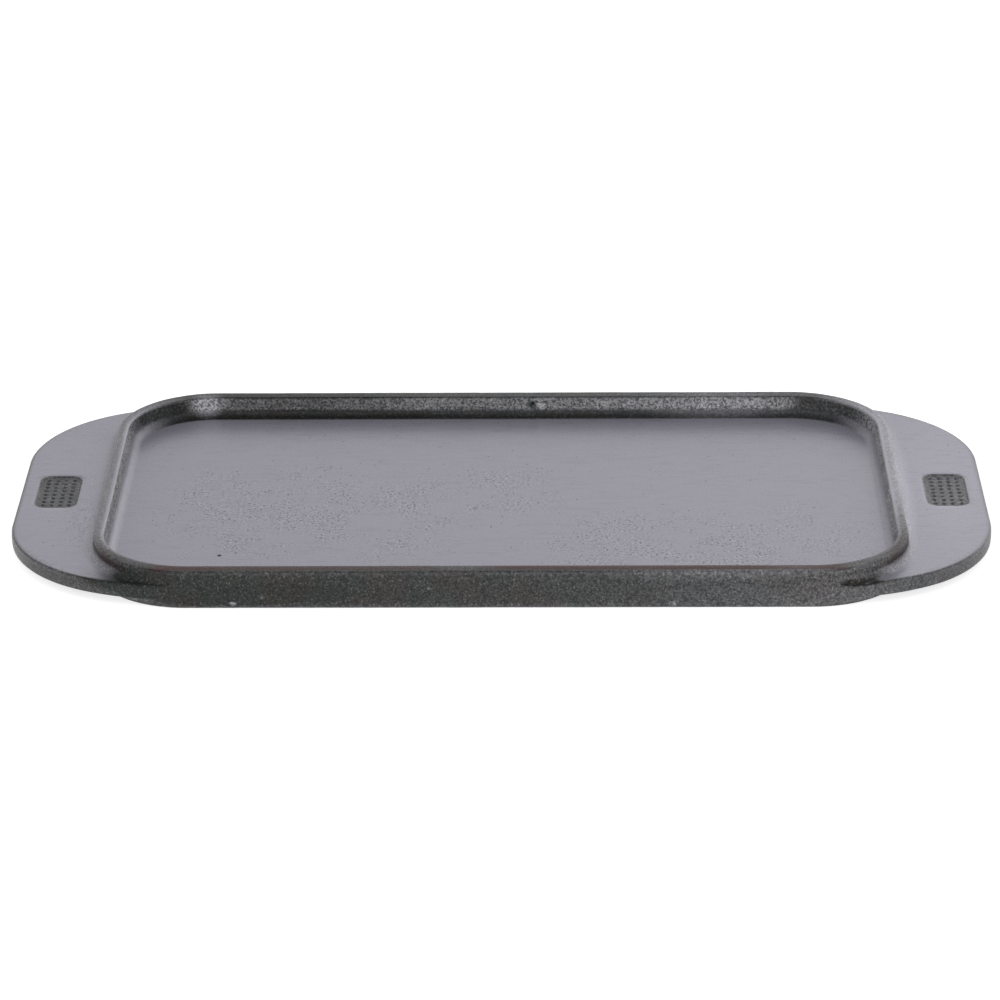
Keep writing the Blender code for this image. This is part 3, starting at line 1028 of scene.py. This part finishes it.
def cast_iron():
    """Grey cast iron from a sand mould, with its flats ground and the whole lightly oiled.

    The eye sees a soft grey sheen on the ground flats, with clusters of dark pinholes and light specks
    and faint lengthwise grinding lines, and a darker, gritty skin on the walls that the sand left rough,
    with painted glints on its grains.
    """
    material = bpy.data.materials.new("sand_cast_iron_ground_oiled_with_painted_light")
    material.use_nodes = True
    tree = material.node_tree
    shader = tree.nodes["Principled BSDF"]
    shader.inputs["Metallic"].default_value = 0.3
    place = add(tree, "TexCoord").outputs["Object"]
    place = add(tree, "VectorMath", {0: place, "Scale": 1 / MM}, operation="SCALE")
    grit, dark, oil, opened = [add(tree, "Attribute", attribute_name=mark).outputs["Fac"]
                               for mark in ("grit", "dark", "oil", "open")]

    patterns = {}
    for name, (size, detail, roughness) in PATTERNS.items():
        patterns[name] = add(tree, "TexNoise", {"Vector": place, "Scale": 1 / size, "Detail": detail,
                                                "Roughness": roughness})

    # Grinding lines run lengthwise, 14 mm long and 1.4 mm apart
    drawn = add(tree, "VectorMath", (place, (1 / 14, 1 / 1.4, 1 / 1.4)), operation="MULTIPLY")
    patterns["lines"] = add(tree, "TexNoise", {"Vector": drawn, "Scale": 1.0, "Detail": 2.0})
    shares = {name: add(tree, "MapRange", (patterns[pattern], *levels))
              for name, (pattern, *levels) in SHARES.items()}

    # Pinholes about 0.8 mm wide lie in cells of 2.6 mm. More of the cells have one where they cluster.
    ground = add(tree, "MapRange", (grit, 0.0, 0.5, 1.0, 0.0))
    cluster = add(tree, "Math", (shares["cluster"], opened), operation="MULTIPLY")
    cells = add(tree, "TexVoronoi", {"Vector": place, "Scale": 1 / 2.6})
    number = add(tree, "SeparateColor", (cells.outputs["Color"],))
    crowded = add(tree, "MapRange", (cluster, 0.0, 1.0, 0.03, 0.75))
    chosen = add(tree, "Math", (number, crowded), operation="LESS_THAN")
    pinhole = add(tree, "MapRange", (cells.outputs["Distance"], 0.22, 0.10))
    pinhole = add(tree, "Math", (pinhole, chosen), operation="MULTIPLY")

    # Between them the open grain of the iron shows as dark pores and light specks
    open_grain = add(tree, "MapRange", (cluster, 0.0, 1.0, 0.02, 1.0))
    open_grain = add(tree, "Math", (ground, open_grain), operation="MULTIPLY")
    pore = add(tree, "Math", (shares["pore"], open_grain), operation="MULTIPLY")
    speck = add(tree, "Math", (shares["speck"], open_grain), operation="MULTIPLY")
    ground_pinhole = add(tree, "Math", (pinhole, ground), operation="MULTIPLY")

    # The dark value leads from bare to oiled iron, and it also carries painted light and shade. Below 0 it
    # makes smooth iron brighter than bare, for painted highlights and bright chips.
    tones = {}
    for name, (bare, greenish, brownish) in TONES.items():
        oiled = add(tree, "Mix", {"Factor": shares["hue"], "A": linear(greenish), "B": linear(brownish)},
                    data_type="RGBA")
        tones[name] = add(tree, "Mix", {"Factor": dark, "A": linear(bare), "B": oiled}, data_type="RGBA")
    tones["smooth"].clamp_factor = False

    # Each layer over those before it: where it shows, how much of it, and its colour
    # The glint layer paints highlights on the sand's grains
    layers = [(shares["ridge"], grit, tones["ridge"]), (shares["painted_glint"], grit, tones["painted_glint"]),
              (shares["blotch"], grit, linear("#1a1b1b")), (shares["line"], ground, linear("#6d6c72")),
              (speck, 0.45, linear("#cccad4")), (pore, 0.95, linear("#343338")),
              (ground_pinhole, 0.9, linear("#2c2b2e")), (oil, 1.0, linear("#411a18"))]
    colour = add(tree, "Mix", {"Factor": grit, "A": tones["smooth"], "B": tones["hollow"]}, data_type="RGBA")
    for share, amount, tone in layers:
        layer = add(tree, "Math", (share, amount), operation="MULTIPLY")
        colour = add(tree, "Mix", {"Factor": layer, "A": colour, "B": tone}, data_type="RGBA")
    tree.links.new(colour.outputs["Result"], shader.inputs["Base Color"])

    # Ground iron is a good deal shinier than rough iron, with a slightly uneven polish
    rough = add(tree, "MapRange", (grit, 0.0, 1.0, 0.29, 0.6))
    rough = add(tree, "Math", (rough, shares["dull"]), operation="ADD")
    tree.links.new(rough.outputs["Value"], shader.inputs["Roughness"])

    # The sand's grains stand up to 0.9 mm high, and the ground iron's marks are 0.03 mm deep
    relief = add(tree, "Math", (patterns["sand"], grit), operation="MULTIPLY")
    bump = add(tree, "Bump", {"Height": relief, "Distance": 0.9 * MM, "Strength": 1.0})
    shallow = add(tree, "Math", (patterns["polish"], patterns["lines"]), operation="ADD")
    shallow = add(tree, "Math", (shallow, 0.5), operation="MULTIPLY")
    shallow = add(tree, "Math", (pinhole, -2.0, shallow), operation="MULTIPLY_ADD")
    bump = add(tree, "Bump", {"Height": shallow, "Distance": 0.03 * MM, "Strength": 1.0, "Normal": bump})
    tree.links.new(bump.outputs["Normal"], shader.inputs["Normal"])
    return material


# The studio

def make_floor():
    """A plain pale sheet. It is white to the camera and keeps the griddle's soft shadow.

    Its back is clear, so that the grill side can be looked at from below.
    """
    material = bpy.data.materials.new("matt_white_paper_sweep")
    material.use_nodes = True
    tree = material.node_tree
    tree.nodes.remove(tree.nodes["Principled BSDF"])
    paper = add(tree, "BsdfDiffuse", {"Color": linear("#e6e6e6")})
    glow = add(tree, "Emission", {"Color": linear("#ffffff"), "Strength": 0.7})
    white = add(tree, "AddShader", (paper, glow))
    path = add(tree, "LightPath")
    seen = add(tree, "Math", (path.outputs["Is Camera Ray"], path.outputs["Is Glossy Ray"]),
               operation="MAXIMUM")
    seen = add(tree, "Math", (seen, path.outputs["Is Transmission Ray"]), operation="MAXIMUM")
    front = add(tree, "MixShader", (seen, paper, white))
    clear = add(tree, "BsdfTransparent")
    back = add(tree, "NewGeometry").outputs["Backfacing"]
    sheet_sides = add(tree, "MixShader", (back, front, clear))
    tree.links.new(sheet_sides.outputs["Shader"], tree.nodes["Material Output"].inputs["Surface"])

    corners = [(x * PAPER_REACH, y * PAPER_REACH, 0) for x, y in ((-1, -1), (1, -1), (1, 1), (-1, 1))]
    mesh = bpy.data.meshes.new("paper_sweep")
    mesh.from_pydata(corners, [], [(0, 1, 2, 3)])
    mesh.materials.append(material)
    sheet = bpy.data.objects.new("paper_sweep", mesh)
    sheet.location.z = -PAPER_DROP * MM
    bpy.context.scene.collection.objects.link(sheet)


def make_world():
    """White all round for the camera, and a studio for the iron: white low down and dark above."""
    world = bpy.data.worlds.new("studio")
    bpy.context.scene.world = world
    world.use_nodes = True
    tree = world.node_tree
    direction = add(tree, "TexCoord").outputs["Generated"]
    parts = add(tree, "SeparateXYZ", (direction,))
    x, y, z = [parts.outputs[axis] for axis in "XYZ"]

    # The white fades out between two heights, and it ends lower in front than behind
    lowered = add(tree, "MapRange", (y, -0.3, 0.3, 0.24, 0.0))
    height = add(tree, "Math", (z, lowered), operation="ADD")
    glossy = add(tree, "MapRange", (height, 0.62, 0.88, 1.0, 0.03), interpolation_type="SMOOTHSTEP")

    # It dims to half towards both sides, and behind it grows brighter from left to right
    sideways = add(tree, "Math", (x,), operation="ABSOLUTE")
    dimmed = add(tree, "MapRange", (sideways, 0.55, 0.95, 1.0, 0.5), interpolation_type="SMOOTHSTEP")
    far = add(tree, "Math", (y, 0.0), operation="MAXIMUM")
    rightward = add(tree, "Math", (x, far), operation="MULTIPLY")
    brighter = add(tree, "MapRange", (rightward, -0.2, 0.5, 0.82, 1.8))
    for share in (dimmed, brighter):
        glossy = add(tree, "Math", (glossy, share), operation="MULTIPLY")

    # The sheen sees all that, the griddle's own colour an even light, and the camera plain white
    path = add(tree, "LightPath")
    shiny = add(tree, "Math", (path.outputs["Is Glossy Ray"], path.outputs["Is Transmission Ray"]),
                operation="MAXIMUM")
    level = add(tree, "Mix", {"Factor": shiny, "A": 0.6, "B": glossy})
    level = add(tree, "Mix", {"Factor": path.outputs["Is Camera Ray"], "A": level, "B": 1.0})
    tree.links.new(level.outputs["Result"], tree.nodes["Background"].inputs["Strength"])
    tree.nodes["Background"].inputs["Color"].default_value = linear("#ffffff")


def make_lamp(name, azimuth, elevation, distance, size, power):
    """A soft square lamp that looks at the griddle. Azimuth 0 is the camera's side, + to the right."""
    light = bpy.data.lights.new(name, "AREA")
    light.size = size
    light.energy = power
    lamp = bpy.data.objects.new(name, light)
    a, e = math.radians(azimuth), math.radians(elevation)
    lamp.location = (distance * math.sin(a) * math.cos(e), -distance * math.cos(a) * math.cos(e),
                     distance * math.sin(e))
    lamp.rotation_euler = (-lamp.location).to_track_quat("-Z", "Y").to_euler()
    bpy.context.scene.collection.objects.link(lamp)


def make_camera():
    """The camera at the photograph's angle."""
    e, yaw, roll = [math.radians(a) for a in (CAMERA_ELEVATION, CAMERA_YAW, CAMERA_ROLL)]
    forward = Vector((math.sin(yaw) * math.cos(e), math.cos(yaw) * math.cos(e), -math.sin(e)))
    level = Vector((math.cos(yaw), -math.sin(yaw), 0))
    rise = level.cross(forward)
    right = level * math.cos(roll) + rise * math.sin(roll)
    up = rise * math.cos(roll) - level * math.sin(roll)
    place = (Vector(CAMERA_TARGET) - forward * CAMERA_DISTANCE) * MM
    lens = bpy.data.cameras.new("camera")
    lens.lens = CAMERA_LENS
    lens.sensor_width = CAMERA_SENSOR
    lens.clip_end = CAMERA_SIGHT * MM
    camera = bpy.data.objects.new("camera", lens)
    camera.matrix_world = Matrix.Translation(place) @ Matrix((right, up, -forward)).transposed().to_4x4()
    bpy.context.scene.collection.objects.link(camera)
    bpy.context.scene.camera = camera


def main():
    casting = make_casting()
    grit, dark = mean_over_faces(casting, np.array(casting.finishes)).T
    places = roughen(casting, grit)
    normals = skin_normals(casting, places)
    marks = finish_skin(places, grit, dark)
    iron = cast_iron()
    for name in sorted(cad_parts):
        piece = make_piece(casting, name, places, normals, marks, iron)

    make_floor()
    make_world()
    make_lamp("left_softbox", azimuth=-40, elevation=32, distance=1.6, size=1.6, power=3)
    make_lamp("right_softbox", azimuth=40, elevation=32, distance=1.6, size=1.6, power=5)
    make_camera()
    bpy.context.scene.view_settings.view_transform = "Standard"


main()
